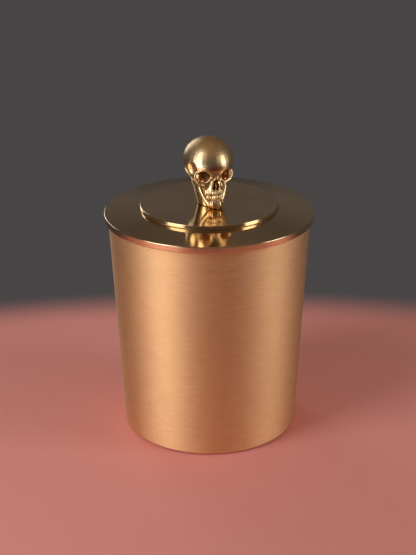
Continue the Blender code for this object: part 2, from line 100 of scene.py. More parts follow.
# Name, azimuth in degrees, distance, height, width and height of the box, and power
SOFTBOXES = (
    ("left_softbox", -73.0, 0.75, 0.64, (0.38, 1.24), 5.3),
    ("left_strip", -64.0, 0.34, 0.055, (0.22, 0.07), 0.21),
    ("right_softbox", 54.0, 0.80, 0.34, (0.34, 0.56), 2.4),
    ("right_strip", 58.0, 0.34, 0.055, (0.12, 0.07), 0.05),
    ("back_softbox", -168.0, 0.95, 0.42, (0.36, 0.62), 1.6),
)


def add_softbox(name, azimuth, distance, height, size, power):
    """A rectangular light that faces the axis. Azimuth 0 is in front of the skull, positive to its left."""
    turn = math.radians(azimuth)
    place = Vector((distance * math.sin(turn), -distance * math.cos(turn), height))
    light = bpy.data.lights.new(name, "AREA")
    light.shape = "RECTANGLE"
    light.size, light.size_y = size
    light.energy = power
    light.color = DAYLIGHT
    box = bpy.data.objects.new(name, light)
    facing = (Vector((0.0, 0.0, height)) - place).to_track_quat("-Z", "Y").to_matrix().to_4x4()
    box.matrix_world = Matrix.Translation(place) @ facing
    box.visible_camera = False
    scene.collection.objects.link(box)


for softbox in SOFTBOXES:
    add_softbox(*softbox)

# %% [markdown]
# ## Small tools for shader nodes
# Every finish below is made of nodes: noise and simple sums decide where the metal is scratched, dull or
# dark. Short helpers keep that readable. They add a node with its inputs, do sums, mix two colours, and
# start or place a group, which is a piece of node work that several finishes share.

# %% Helpers for nodes


def add(tree, kind, inputs=None, **settings):
    """Adds a node. Settings are its properties. An input is a number, a colour or another node's socket."""
    node = tree.nodes.new(kind)
    for name, value in settings.items():
        setattr(node, name, value)
    for key, value in (inputs or {}).items():
        if isinstance(value, bpy.types.NodeSocket):
            tree.links.new(value, node.inputs[key])
        else:
            node.inputs[key].default_value = value
    return node


def maths(tree, operation, first, second=0.0):
    return add(tree, "ShaderNodeMath", {0: first, 1: second}, operation=operation).outputs[0]


def plus(tree, base, mask, amount):
    """Adds an amount to the base, as far as the mask says."""
    return add(tree, "ShaderNodeMath", {0: mask, 1: amount, 2: base}, operation="MULTIPLY_ADD").outputs[0]


def between(tree, value, low, high, new_low=0.0, new_high=1.0):
    """Stretches the part of a value from low to high over a new range, and holds it at the ends."""
    inputs = {"Value": value, "From Min": low, "From Max": high, "To Min": new_low, "To Max": new_high}
    return add(tree, "ShaderNodeMapRange", inputs).outputs["Result"]


def object_place(tree):
    return add(tree, "ShaderNodeTexCoord").outputs["Object"]


def turned_section(tree):
    """The distance from the axis and the height of each point, as a turned part's drawing has them."""
    parts = add(tree, "ShaderNodeSeparateXYZ", {0: object_place(tree)}).outputs
    flat = add(tree, "ShaderNodeCombineXYZ", {0: parts[0], 1: parts[1]})
    radius = add(tree, "ShaderNodeVectorMath", {0: flat.outputs[0]}, operation="LENGTH").outputs["Value"]
    return add(tree, "ShaderNodeCombineXYZ", {0: radius, 1: parts[2]}).outputs[0]


def mix_colours(tree, factor, first, second):
    node = add(tree, "ShaderNodeMix", data_type="RGBA")
    for key, value in ((0, factor), (6, first), (7, second)):
        if isinstance(value, bpy.types.NodeSocket):
            tree.links.new(value, node.inputs[key])
        else:
            node.inputs[key].default_value = value if key == 0 else (*value, 1.0)
    return node.outputs[2]


def start_group(name, inputs, outputs):
    """A new group of nodes with number sockets. Returns its tree, its input sockets and its output node."""
    tree = bpy.data.node_groups.new(name, "ShaderNodeTree")
    for title, default in inputs:
        socket = tree.interface.new_socket(name=title, in_out="INPUT", socket_type="NodeSocketFloat")
        socket.default_value = default
    for title in outputs:
        tree.interface.new_socket(name=title, in_out="OUTPUT", socket_type="NodeSocketFloat")
    return tree, tree.nodes.new("NodeGroupInput").outputs, tree.nodes.new("NodeGroupOutput")


def place_group(tree, group, **values):
    """Puts a shared group into a material with its own values, and returns the group's outputs."""
    node = tree.nodes.new("ShaderNodeGroup")
    node.node_tree = group
    for name, value in values.items():
        node.inputs[name.replace("_", " ").capitalize()].default_value = value
    return node.outputs


print("helpers ready")

# %% [markdown]
# ## Shared effects: brushing, turning, handling and pits
# A belt held against a spinning cup leaves long fine scratches that run round it. They are noise stretched
# sideways: wide steps round the cup and very small steps up it. A cutting tool on a lathe leaves perfect
# circles instead, so the turning marks depend only on a point's distance from the axis and its height.
# Handling leaves broad soft patches, and casting leaves small pits. Each is one group, so that a part can
# use it with values of its own.

# %% Brushing that runs round the cup
brushing, given, result = start_group(
    "brushing round", [("Across", 1500.0), ("Along", 80.0)], ["Streaks", "Height"]
)
along, across = given["Along"], given["Across"]
steps = add(brushing, "ShaderNodeCombineXYZ", {0: along, 1: along, 2: across}).outputs[0]
long_way = {0: object_place(brushing), 1: steps}
stretched = add(brushing, "ShaderNodeVectorMath", long_way, operation="MULTIPLY").outputs[0]
coarse = {"Vector": stretched, "Scale": 1.0, "Detail": 3.0, "Roughness": 0.6}
fine = {"Vector": stretched, "Scale": 4.3, "Detail": 2.0, "Roughness": 0.5}
broad_lines = add(brushing, "ShaderNodeTexNoise", coarse).outputs[0]
thin_lines = add(brushing, "ShaderNodeTexNoise", fine).outputs[0]
both = plus(brushing, broad_lines, thin_lines, 0.45)
brushing.links.new(between(brushing, both, 0.45, 1.0), result.inputs["Streaks"])
brushing.links.new(both, result.inputs["Height"])
print(brushing.name, len(brushing.nodes), "nodes")

# %% Turning marks in circles about the axis
turning, given, result = start_group("turning marks", [("Lines", 2600.0)], ["Rings"])
in_circles = {"Vector": turned_section(turning), "Scale": given["Lines"], "Detail": 3.0, "Roughness": 0.65}
wave = add(turning, "ShaderNodeTexNoise", in_circles).outputs[0]
turning.links.new(wave, result.inputs["Rings"])
print(turning.name, len(turning.nodes), "nodes")

# %% Handling: broad soft patches
handling, given, result = start_group("handling", [("Size", 45.0), ("Offset", 0.0)], ["Patches"])
offset = add(handling, "ShaderNodeCombineXYZ", {0: given["Offset"], 1: given["Offset"]}).outputs[0]
shift = {0: object_place(handling), 1: offset}
moved = add(handling, "ShaderNodeVectorMath", shift, operation="ADD").outputs[0]
cloudy = {"Vector": moved, "Scale": given["Size"], "Detail": 4.0, "Roughness": 0.55, "Distortion": 0.6}
cloud = add(handling, "ShaderNodeTexNoise", cloudy).outputs[0]
handling.links.new(between(handling, cloud, 0.36, 0.68), result.inputs["Patches"])
print(handling.name, len(handling.nodes), "nodes")

# %% Pits and the fine grain of a casting
pitting, given, result = start_group("pits", [("Grain", 2200.0), ("Pits", 900.0)], ["Height"])
place = object_place(pitting)
grainy = {"Vector": place, "Scale": given["Grain"], "Detail": 3.0, "Roughness": 0.6}
grain = add(pitting, "ShaderNodeTexNoise", grainy).outputs[0]
cells = add(pitting, "ShaderNodeTexVoronoi", {"Vector": place, "Scale": given["Pits"]}, feature="F1")
pit = between(pitting, cells.outputs["Distance"], 0.08, 0.30, 0.6, 0.0)
pitted = maths(pitting, "MULTIPLY", pit, between(pitting, grain, 0.52, 0.66))
pitting.links.new(maths(pitting, "SUBTRACT", grain, pitted), result.inputs["Height"])
print(pitting.name, len(pitting.nodes), "nodes")

# %% [markdown]
# ## Brass, three ways
# The same alloy looks different by how it was worked. On the cup the scratches all run one way, so light
# spreads up and down across them and stays narrow round the cup: that is an anisotropic gloss, turned a
# quarter. The lid is polished, so it mirrors the room, blurred a little by faint circles and by handling.
# Its upright faces keep the tool's marks and are duller, and the corner under the step is painted dark as
# painted shade and made duller. The skull is polished too, but over a cast surface with small pits. Its
# hollows are painted dark and dull, partly as tarnish that polish never reaches and partly as painted shade,
# and painted shade also darkens its neck and the middle of its brow. Its crown is worn brown and matt from
# being held.

# %% Start a material


def start_finish(name, **constants):
    """A material with its shader. Constants are sockets of the shader that are the same all over."""
    material = bpy.data.materials.new(name)
    material.use_nodes = True
    tree = material.node_tree
    shader = tree.nodes["Principled BSDF"]
    for title, value in constants.items():
        shader.inputs[title.replace("_", " ")].default_value = value
    return material, tree, shader


def relief(tree, shader, height, distance, strength=1.0):
    bump = add(tree, "ShaderNodeBump", {"Height": height, "Distance": distance, "Strength": strength})
    tree.links.new(bump.outputs["Normal"], shader.inputs["Normal"])


print("ready for finishes")

# %% Brushed brass of the cup
BRUSHED_LIGHT = (0.92, 0.605, 0.335)
BRUSHED_DEEP = (0.79, 0.445, 0.195)
BRUSHED_STAIN = (0.62, 0.34, 0.16)
QUARTER_TURN = 0.25

brushed_brass, tree, shader = start_finish(
    "brushed_brass", Metallic=1.0, Anisotropic=0.60, Anisotropic_Rotation=QUARTER_TURN
)
streaks = place_group(tree, brushing, Across=2600.0, Along=150.0)
marks = place_group(tree, handling, Size=30.0)
tone = mix_colours(tree, streaks["Streaks"], BRUSHED_DEEP, BRUSHED_LIGHT)
tone = mix_colours(tree, maths(tree, "MULTIPLY", marks["Patches"], 0.12), tone, BRUSHED_STAIN)
tree.links.new(tone, shader.inputs["Base Color"])
dull = between(tree, streaks["Streaks"], 0.0, 1.0, 0.56, 0.68)
dull = plus(tree, dull, marks["Patches"], 0.03)
tree.links.new(dull, shader.inputs["Roughness"])
relief(tree, shader, streaks["Height"], 0.00006)
print(brushed_brass.name, "uses", len(tree.nodes), "nodes")

# %% Polished brass of the lid
POLISHED_LIGHT = (0.78, 0.54, 0.31)
POLISHED_DEEP = (0.68, 0.46, 0.26)
CORNER_PAINTED_SHADE = (0.10, 0.055, 0.03)
STEP_RADIUS = 0.0312
STEP_FOOT = 0.1060

polished_brass, tree, shader = start_finish("polished_brass", Metallic=1.0)
rings = place_group(tree, turning, Lines=2600.0)
marks = place_group(tree, handling, Size=42.0, Offset=3.0)
tone = mix_colours(tree, marks["Patches"], POLISHED_LIGHT, POLISHED_DEEP)
# Painted shade: the corner under the step is painted dark, and it is made duller below.
under_step = {0: turned_section(tree), 1: (STEP_RADIUS, STEP_FOOT, 0.0)}
to_corner = add(tree, "ShaderNodeVectorMath", under_step, operation="DISTANCE").outputs["Value"]
corner = between(tree, to_corner, 0.00012, 0.00045, 0.85, 0.0)
tone = mix_colours(tree, corner, tone, CORNER_PAINTED_SHADE)
tree.links.new(tone, shader.inputs["Base Color"])
normal = add(tree, "ShaderNodeNewGeometry").outputs["Normal"]
facing_up = add(tree, "ShaderNodeSeparateXYZ", {0: normal}).outputs[2]
upright = between(tree, maths(tree, "ABSOLUTE", facing_up), 0.1, 0.8, 1.0, 0.0)
dull = between(tree, marks["Patches"], 0.0, 1.0, 0.05, 0.10)
dull = plus(tree, dull, upright, 0.09)
dull = plus(tree, dull, corner, 0.35)
tree.links.new(dull, shader.inputs["Roughness"])
relief(tree, shader, rings["Rings"], 0.00001)
print(polished_brass.name, "uses", len(tree.nodes), "nodes")

# %% Cast brass of the skull
CAST_LIGHT = (0.92, 0.63, 0.345)
CAST_DEEP = (0.80, 0.50, 0.24)
TARNISH_AND_PAINTED_SHADE = (0.27, 0.135, 0.05)
CROWN_BROWN = (0.62, 0.37, 0.18)
CROWN_HEIGHTS = (0.1270, 0.1350)
FACE_HEIGHTS = (0.1225, 0.1265)

cast_brass, tree, shader = start_finish("cast_brass", Metallic=1.0)
pits = place_group(tree, pitting, Grain=1500.0, Pits=1100.0)
marks = place_group(tree, handling, Size=160.0, Offset=7.0)
recess = add(tree, "ShaderNodeAttribute", attribute_name="recess").outputs["Fac"]
height = add(tree, "ShaderNodeSeparateXYZ", {0: object_place(tree)}).outputs[2]
crown = between(tree, height, *CROWN_HEIGHTS)
face = between(tree, height, *FACE_HEIGHTS, 1.0, 0.0)
tone = mix_colours(tree, marks["Patches"], CAST_LIGHT, CAST_DEEP)
# The hollows are painted dark: partly tarnish, partly painted shade. The neck and the middle of the brow get
# painted shade.
tone = mix_colours(tree, between(tree, recess, 0.20, 0.90), tone, TARNISH_AND_PAINTED_SHADE)
worn = maths(tree, "MULTIPLY", crown, between(tree, marks["Patches"], 0.2, 0.8, 0.50, 0.95))
tone = mix_colours(tree, worn, tone, CROWN_BROWN)
tree.links.new(tone, shader.inputs["Base Color"])
dull = between(tree, marks["Patches"], 0.0, 1.0, 0.22, 0.32)
for mask, amount in ((recess, 0.10), (crown, 0.16), (face, 0.03)):
    dull = plus(tree, dull, mask, amount)
tree.links.new(dull, shader.inputs["Roughness"])
relief(tree, shader, pits["Height"], 0.00002)
print(cast_brass.name, "uses", len(tree.nodes), "nodes")

# %% [markdown]
# ## The parts inside
# A candle is poured into the cup round a braided cotton wick, which a steel tab holds upright. Under the
# lid are a silicone ring, a screw and a washer, and a felt pad is let into the underside. Apart from the
# wick, none of them needs a new shape, since the solids have it. Each gets its finish by what it is: wax
# lets light in a little way, felt scatters it from loose fibres, and zinc is patchy where its crystals meet.

# %% Felt, wax, cotton, steel and silicone
felt, tree, shader = start_finish("black_felt", Roughness=0.95, Sheen_Weight=0.5, Sheen_Roughness=0.6)
fibrous = {"Vector": object_place(tree), "Scale": 1800.0, "Detail": 5.0, "Roughness": 0.75, "Distortion": 1.5}
fibres = add(tree, "ShaderNodeTexNoise", fibrous).outputs[0]
tone = mix_colours(tree, fibres, (0.012, 0.011, 0.010), (0.055, 0.050, 0.046))
tree.links.new(tone, shader.inputs["Base Color"])
relief(tree, shader, fibres, 0.0003, 0.8)

wax, tree, shader = start_finish(
    "ivory_wax", Subsurface_Weight=0.35, Subsurface_Radius=(0.006, 0.004, 0.002), Subsurface_Scale=1.0
)
frost = place_group(tree, handling, Size=90.0, Offset=11.0)
tone = mix_colours(tree, frost["Patches"], (0.84, 0.76, 0.60), (0.90, 0.85, 0.74))
tree.links.new(tone, shader.inputs["Base Color"])
tree.links.new(between(tree, frost["Patches"], 0.0, 1.0, 0.38, 0.58), shader.inputs["Roughness"])
relief(tree, shader, frost["Patches"], 0.00008)

cotton, tree, shader = start_finish("cotton_wick", Roughness=0.9, Sheen_Weight=0.3)
spun = {"Vector": object_place(tree), "Scale": 5200.0, "Detail": 4.0, "Roughness": 0.7}
yarn = add(tree, "ShaderNodeTexNoise", spun).outputs[0]
tone = mix_colours(tree, yarn, (0.60, 0.55, 0.46), (0.88, 0.85, 0.78))
tree.links.new(tone, shader.inputs["Base Color"])
relief(tree, shader, yarn, 0.0001)

steel, tree, shader = start_finish("zinc_steel", Metallic=1.0)
crystals = {"Vector": object_place(tree), "Scale": 1400.0}
spangle = add(tree, "ShaderNodeTexVoronoi", crystals, feature="F1").outputs["Distance"]
tone = mix_colours(tree, spangle, (0.62, 0.63, 0.65), (0.48, 0.49, 0.51))
tree.links.new(tone, shader.inputs["Base Color"])
tree.links.new(between(tree, spangle, 0.0, 0.9, 0.24, 0.42), shader.inputs["Roughness"])

silicone, tree, shader = start_finish("clear_silicone", Transmission_Weight=0.35, IOR=1.41)
bloom = place_group(tree, handling, Size=220.0, Offset=5.0)
tone = mix_colours(tree, bloom["Patches"], (0.78, 0.77, 0.74), (0.66, 0.65, 0.62))
tree.links.new(tone, shader.inputs["Base Color"])
tree.links.new(between(tree, bloom["Patches"], 0.0, 1.0, 0.32, 0.48), shader.inputs["Roughness"])

inside = {
    "base_pad": felt,
    "candle_wax": wax,
    "wick_tab": steel,
    "lid_seal": silicone,
    "finial_washer": steel,
    "finial_screw": steel,
}
for name, material in inside.items():
    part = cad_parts[name]
    part.data.materials.clear()
    part.data.materials.append(material)
print("finished inside:", ", ".join(inside))

# %% [markdown]
# ## The cup, turned fine
# A turned part is a profile swept round an axis. Two things make it look spun and not faceted: enough
# steps round, and roundings in the profile where a real edge is broken. The third thing is easy to miss.
# Smooth shading averages the direction of the faces that meet in a point, so a wide flat next to a
# rounding would look bent. Two extra rings close to each rounding hold the flat flat.

# %% Helpers for turned parts
TURN_STEPS = 256
HOLD = 0.00008


def rounding(centre, radius, start, end, steps=6):
    """Points of a round in the profile, from one angle to another in degrees."""
    angles = np.radians(np.linspace(start, end, steps + 1))
    return [(centre[0] + radius * math.cos(a), centre[1] + radius * math.sin(a)) for a in angles]


def with_holding_rings(profile, closed):
    """Adds a point just after the start and just before the end of each long stretch."""
    held = []
    pairs = list(zip(profile, profile[1:] + profile[:1]))
    for start, end in pairs if closed else pairs[:-1]:
        held.append(start)
        length = math.dist(start, end)
        if length > 4 * HOLD:
            share = HOLD / length
            for t in (share, 1 - share):
                held.append((start[0] + t * (end[0] - start[0]), start[1] + t * (end[1] - start[1])))
    return held if closed else held + [profile[-1]]


def turn_profile(name, profile, closed, material):
    """Turns a profile about the axis: closed for a ring, or open with both ends on the axis for a body."""
    profile = with_holding_rings(profile, closed)
    rings = profile if closed else profile[1:-1]
    angles = np.linspace(0.0, 2 * math.pi, TURN_STEPS, endpoint=False)
    points = [(r * math.cos(a), r * math.sin(a), z) for r, z in rings for a in angles]
    faces = []
    for i in range(len(rings) if closed else len(rings) - 1):
        here, after = i * TURN_STEPS, (i + 1) % len(rings) * TURN_STEPS
        for k in range(TURN_STEPS):
            n = (k + 1) % TURN_STEPS
            faces.append((here + k, after + k, after + n, here + n))
    if not closed:
        for (_, height), ring, flip in ((profile[0], 0, False), (profile[-1], len(rings) - 1, True)):
            points.append((0.0, 0.0, height))
            for k in range(TURN_STEPS):
                pair = (ring * TURN_STEPS + k, ring * TURN_STEPS + (k + 1) % TURN_STEPS)
                faces.append((len(points) - 1, *(reversed(pair) if flip else pair)))
    mesh = bpy.data.meshes.new(name)
    mesh.from_pydata(points, [], faces)
    mesh.materials.append(material)
    mesh.shade_smooth()
    mesh.set_sharp_from_angle(angle=math.radians(40))
    piece = bpy.data.objects.new(name, mesh)
    scene.collection.objects.link(piece)
    return piece


print("steps round:", TURN_STEPS)

# %% Turn the cup
FOOT_RADIUS = 0.0407
TOP_RADIUS = 0.0457
FOOT_LIFT = 0.0006
RIM_HEIGHT = 0.1011
WALL = 0.0015
CUP_FLOOR = 0.0018
FOOT_ROUND = 0.0011
RIM_ROUND = 0.0005
PAD_HOLE_RADIUS = 0.0373
PAD_SEAT = 0.0019


def cup_radius(height):
    share = (height - FOOT_LIFT) / (RIM_HEIGHT - FOOT_LIFT)
    return FOOT_RADIUS + share * (TOP_RADIUS - FOOT_RADIUS)


floor_top = PAD_SEAT + CUP_FLOOR
inner_round = FOOT_ROUND + WALL
inner_foot = cup_radius(floor_top) - WALL
cup_profile = [(0.0, floor_top)]
cup_profile += rounding((inner_foot - inner_round, floor_top + inner_round), inner_round, 270, 357)
cup_profile += rounding((TOP_RADIUS - WALL + RIM_ROUND, RIM_HEIGHT - RIM_ROUND), RIM_ROUND, 180, 90)
cup_profile += rounding((TOP_RADIUS - RIM_ROUND, RIM_HEIGHT - RIM_ROUND), RIM_ROUND, 90, -3)
cup_profile += rounding((FOOT_RADIUS - FOOT_ROUND, FOOT_LIFT + FOOT_ROUND), FOOT_ROUND, -3, -90)
cup_profile += [(PAD_HOLE_RADIUS, FOOT_LIFT), (PAD_HOLE_RADIUS, PAD_SEAT), (0.0, PAD_SEAT)]
cup = turn_profile("brushed_cup", cup_profile, False, brushed_brass)
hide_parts("vessel")
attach(cup, "root")
print("cup:", len(cup.data.polygons), "faces")

# %% [markdown]
# ## The lid
# One turned plate: a flange that covers the rim and rises a little towards a raised step in its middle,
# and a locating rim below with a groove for the seal. Its upper edge is broken by a hair, which catches
# light all the way round as a thin bright line.

# %% Turn the lid
LID_SEAT = 0.1014
FLANGE_TOP = 0.1044
STEP_TOP = 0.1078
RECESS_TOP = 0.1054
RECESS_RADIUS = 0.0288
SCREW_HOLE_RADIUS = 0.0018
EDGE_ROUND = 0.00032
STEP_ROUND = 0.00020
LOCATING_RADIUS = 0.0424
LOCATING_WALL = 0.0024
LOCATING_LOW = 0.0960
GROOVE_RADIUS = 0.0415
GROOVE = (0.0971, 0.1003)

outer, inner = LOCATING_RADIUS, LOCATING_RADIUS - LOCATING_WALL
lid_profile = [(SCREW_HOLE_RADIUS, STEP_TOP)]
lid_profile += rounding((STEP_RADIUS - STEP_ROUND, STEP_TOP - STEP_ROUND), STEP_ROUND, 90, 0)
lid_profile += [(STEP_RADIUS, STEP_FOOT)]
lid_profile += rounding((LID_RADIUS - EDGE_ROUND, FLANGE_TOP - EDGE_ROUND), EDGE_ROUND, 90, 0)
lid_profile += rounding((LID_RADIUS - EDGE_ROUND, LID_SEAT + EDGE_ROUND), EDGE_ROUND, 0, -90)
lid_profile += [(outer, LID_SEAT), (outer, GROOVE[1]), (GROOVE_RADIUS, GROOVE[1]), (GROOVE_RADIUS, GROOVE[0])]
lid_profile += [(outer, GROOVE[0])]
lid_profile += rounding((outer - EDGE_ROUND, LOCATING_LOW + EDGE_ROUND), EDGE_ROUND, 0, -90)
lid_profile += rounding((inner + EDGE_ROUND, LOCATING_LOW + EDGE_ROUND), EDGE_ROUND, -90, -180)
lid_profile += [(inner, LID_SEAT), (RECESS_RADIUS, LID_SEAT), (RECESS_RADIUS - STEP_ROUND, RECESS_TOP)]
lid_profile += [(SCREW_HOLE_RADIUS, RECESS_TOP)]
lid = turn_profile("polished_lid", lid_profile, True, polished_brass)
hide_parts("lid")
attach(lid, "root")
print("lid:", len(lid.data.polygons), "faces")

# %% [markdown]
# ## The skull
# A small skull is first modelled in clay or wax and then cast, and the same steps work here. Large masses
# are laid over each other and merged, which a voxel remesh does, and a smoothing pass blends them. Hollows
# are pressed in: each point inside a hollow moves along one direction until it lies on the hollow's far
# wall. Finer forms, such as the rims of the sockets, the jaw and the teeth, are put on after that, so that
# they keep their edge. All numbers are in millimetres, from the middle of the skull's base.

# %% The masses, hollows and features
# Name, centre, radii, lean about X in degrees, and whether it has a twin on the other side
MASSES = (
    ("cranium", (0.0, 1.0, 19.5), (11.35, 12.5, 10.7), 0, False),
    ("forehead", (0.0, -4.1, 18.5), (9.1, 7.3, 8.4), 0, False),
    ("occiput", (0.0, 5.6, 15.1), (8.2, 7.6, 7.6), 0, False),
    ("skull base", (0.0, 0.6, 10.8), (7.8, 8.0, 7.0), 0, False),
    ("upper face", (0.0, -5.0, 14.1), (7.5, 4.5, 4.8), 0, False),
    ("maxilla", (0.0, -6.0, 9.1), (4.1, 4.6, 4.8), 0, False),
    ("cheek slope", (3.7, -6.2, 10.8), (3.1, 2.9, 2.3), 0, True),
    ("nasal bridge", (0.0, -9.2, 14.2), (1.15, 1.9, 3.2), -16, False),
    ("tooth bed", (0.0, -6.1, 6.0), (3.9, 3.9, 3.2), 0, False),
)
# Radius and height
NECK = ((5.2, -1.0), (5.3, 0.0), (6.3, 4.0), (7.6, 9.5))
NECK_CENTRE_Y = -0.5
NECK_DEPTH_RATIO = 1.05
# Name, centre, radii, the way that points are pressed, and whether it has a twin
HOLLOWS = (
    ("orbit", (5.45, -9.6, 14.65), (3.05, 4.2, 2.75), (0, 1, 0), True),
    ("orbit depth", (4.7, -8.4, 14.6), (1.8, 3.8, 1.8), (0, 1, 0), True),
    ("nasal opening low", (0.65, -10.6, 10.0), (1.05, 3.0, 1.5), (0, 1, 0), True),
    ("nasal opening high", (0.0, -10.6, 11.5), (1.0, 2.7, 2.1), (0, 1, 0), False),
    ("temple", (13.2, -6.9, 16.9), (5.2, 5.0, 6.6), (-1, 0, 0), True),
    ("behind the cheek", (9.9, -4.0, 11.1), (2.6, 2.8, 3.4), (-1, 0, 0), True),
    ("cheek hollow", (5.7, -8.4, 7.9), (1.35, 3.6, 2.7), (0, 1, 0), True),
)
SOCKET_RIM_CENTRE = (5.45, -8.0, 14.9)
SOCKET_RIM = (3.45, 3.15)
SOCKET_RIM_THICKNESS = (0.42, 0.62)
SOCKET_TURN = 24.0
# Place and radius of each ball in a string
JAW = (
    ((6.0, -4.2, 10.7), 0.9),
    ((5.4, -5.2, 7.8), 1.1),
    ((4.5, -6.2, 5.4), 1.2),
    ((3.5, -7.1, 3.5), 1.45),
    ((2.4, -8.1, 2.1), 1.8),
    ((1.2, -8.7, 1.9), 1.9),
)
ARCH = (
    ((7.6, -5.6, 12.6), 0.7),
    ((8.0, -2.6, 12.4), 0.55),
    ((7.9, 0.6, 12.2), 0.55),
    ((7.4, 2.4, 12.1), 0.7),
)
FEATURES = (
    ("chin", (0.0, -8.0, 1.9), (3.2, 3.3, 2.8), 0, False),
    ("chin boss", (1.3, -10.0, 2.0), (1.25, 1.2, 1.9), 0, True),
    ("socket's outer wall", (7.5, -5.6, 14.9), (0.8, 2.3, 2.8), 0, True),
    ("cheekbone", (6.5, -6.4, 12.2), (1.9, 1.6, 1.2), 0, True),
    ("nose side", (1.8, -9.2, 12.3), (0.6, 0.95, 2.9), -10, True),
    ("nasal spine", (0.0, -9.2, 10.5), (0.26, 1.2, 2.1), 0, False),
)
# Height, radius of the arch, its middle in Y, radii of a tooth, and teeth on one side
TOOTH_ROWS = (
    (7.30, 3.95, -6.2, (0.45, 0.58, 1.20), 6),
    (5.15, 3.80, -6.2, (0.42, 0.55, 1.00), 6),
)
TOOTH_SPREAD = 80.0
SKULL_BASE = 0.1081
MM = 0.001
print("masses", len(MASSES), "hollows", len(HOLLOWS), "features", len(FEATURES))

# %% Laying the clay
ball = bpy.data.meshes.new("clay_ball")
ball_maker = bmesh.new()
bmesh.ops.create_uvsphere(ball_maker, u_segments=32, v_segments=20, radius=1.0)
ball_maker.to_mesh(ball)
ball_maker.free()
to_skull = Matrix.Translation((0.0, 0.0, SKULL_BASE)) @ Matrix.Scale(MM, 4)


def lay_ball(clay, centre, radii, lean=0.0, turn=0.0):
    """Lays one stretched ball of clay, leaning about X and then turned about Z, in degrees."""
    lump = ball.copy()
    lump.transform(
        to_skull
        @ Matrix.Translation(centre)
        @ Matrix.Rotation(math.radians(turn), 4, "Z")
        @ Matrix.Rotation(math.radians(lean), 4, "X")
        @ Matrix.Diagonal((*radii, 1.0))
    )
    clay.from_mesh(lump)
    bpy.data.meshes.remove(lump)


def lay_forms(clay, forms):
    for _, centre, radii, lean, mirrored in forms:
        for side in (1, -1) if mirrored else (1,):
            lay_ball(clay, (side * centre[0], centre[1], centre[2]), radii, lean)


def lay_neck(clay):
    for (low_radius, low), (high_radius, high) in zip(NECK, NECK[1:]):
        place = to_skull @ Matrix.Translation((0.0, NECK_CENTRE_Y, (low + high) / 2))
        bmesh.ops.create_cone(
            clay,
            cap_ends=True,
            segments=64,
            radius1=low_radius,
            radius2=high_radius,
            depth=high - low + 0.4,
            matrix=place @ Matrix.Diagonal((1.0, NECK_DEPTH_RATIO, 1.0, 1.0)),
        )


def lay_string(clay, string, links=8):
    """Lays a string of balls on both sides, close enough to merge, such as the jaw or the cheek's arch."""
    for (start, start_radius), (end, end_radius) in zip(string, string[1:]):
        for i in range(links):
            share = i / links
            centre = Vector(start).lerp(Vector(end), share)
            radius = start_radius + share * (end_radius - start_radius)
            for side in (1, -1):
                lay_ball(clay, (side * centre.x, centre.y, centre.z), (radius,) * 3)


def lay_socket_rims(clay, count=48):
    """Lays a ring round each socket, in a plane that is turned outwards. It is thickest at its outer side."""
    turn = math.radians(SOCKET_TURN)
    thin, thick = SOCKET_RIM_THICKNESS
    for angle in np.linspace(0.0, 2 * math.pi, count, endpoint=False):
        across = SOCKET_RIM[0] * math.cos(angle)
        x = SOCKET_RIM_CENTRE[0] + across * math.cos(turn)
        y = SOCKET_RIM_CENTRE[1] + across * math.sin(turn)
        z = SOCKET_RIM_CENTRE[2] + SOCKET_RIM[1] * math.sin(angle)
        outward = 0.5 + 0.5 * math.cos(angle + 0.5)
        for side in (1, -1):
            lay_ball(clay, (side * x, y, z), (thin + (thick - thin) * outward,) * 3)


def lay_teeth(clay):
    for height, arch, centre_y, radii, count in TOOTH_ROWS:
        for i in range(count):
            angle = TOOTH_SPREAD * (i + 0.5) / count
            for turn in (angle, -angle):
                x = arch * math.sin(math.radians(turn))
                y = centre_y - arch * math.cos(math.radians(turn))
                lay_ball(clay, (x, y, height), radii, 0.0, turn)


print("ball of clay:", len(ball.polygons), "faces")

# %% Merging, pressing and finishing
CLAY_VOXEL = 0.00024
FINISH_VOXEL = 0.000195
MASS_PASSES = 10
PRESSED_PASSES = 12
FEATURE_PASSES = 3


def baked(obj):
    """The object's mesh with its modifiers applied. The object itself is then taken away."""
    graph = bpy.context.evaluated_depsgraph_get()
    mesh = bpy.data.meshes.new_from_object(obj.evaluated_get(graph))
    bpy.data.objects.remove(obj)
    return mesh


def merged(clay, voxel, passes):
    """Merges what was laid into one skin, and smooths it."""
    mesh = bpy.data.meshes.new("clay")
    clay.to_mesh(mesh)
    clay.free()
    obj = bpy.data.objects.new("clay", mesh)
    scene.collection.objects.link(obj)
    remesh = obj.modifiers.new("merge", "REMESH")
    remesh.mode = "VOXEL"
    remesh.voxel_size = voxel
    obj.modifiers.new("soften", "SMOOTH").iterations = passes
    return baked(obj)


def smoothed(mesh, passes):
    obj = bpy.data.objects.new("softened", mesh)
    scene.collection.objects.link(obj)
    obj.modifiers.new("soften", "SMOOTH").iterations = passes
    return baked(obj)


def coordinates(mesh):
    points = np.empty(len(mesh.vertices) * 3)
    mesh.vertices.foreach_get("co", points)
    return points.reshape(-1, 3)


def press(mesh):
    """Moves the points inside each hollow along its direction, onto the hollow's far wall."""
    points = coordinates(mesh)
    for _, centre, radii, direction, mirrored in HOLLOWS:
        axis = [abs(part) for part in direction].index(1)
        for side in (1, -1) if mirrored else (1,):
            middle = np.array(to_skull @ Vector((side * centre[0], centre[1], centre[2])))
            way = direction[axis] * (side if axis == 0 else 1)
            near = (points - middle) / (MM * np.array(radii))
            room = 1.0 - (np.delete(near, axis, axis=1) ** 2).sum(axis=1)
            wall = np.sqrt(np.clip(room, 0.0, None))
            inside_hollow = (room > 0.0) & (np.abs(near[:, axis]) < wall)
            points[inside_hollow, axis] = middle[axis] + way * wall[inside_hollow] * MM * radii[axis]
    mesh.vertices.foreach_set("co", points.ravel())
    mesh.update()
    return mesh


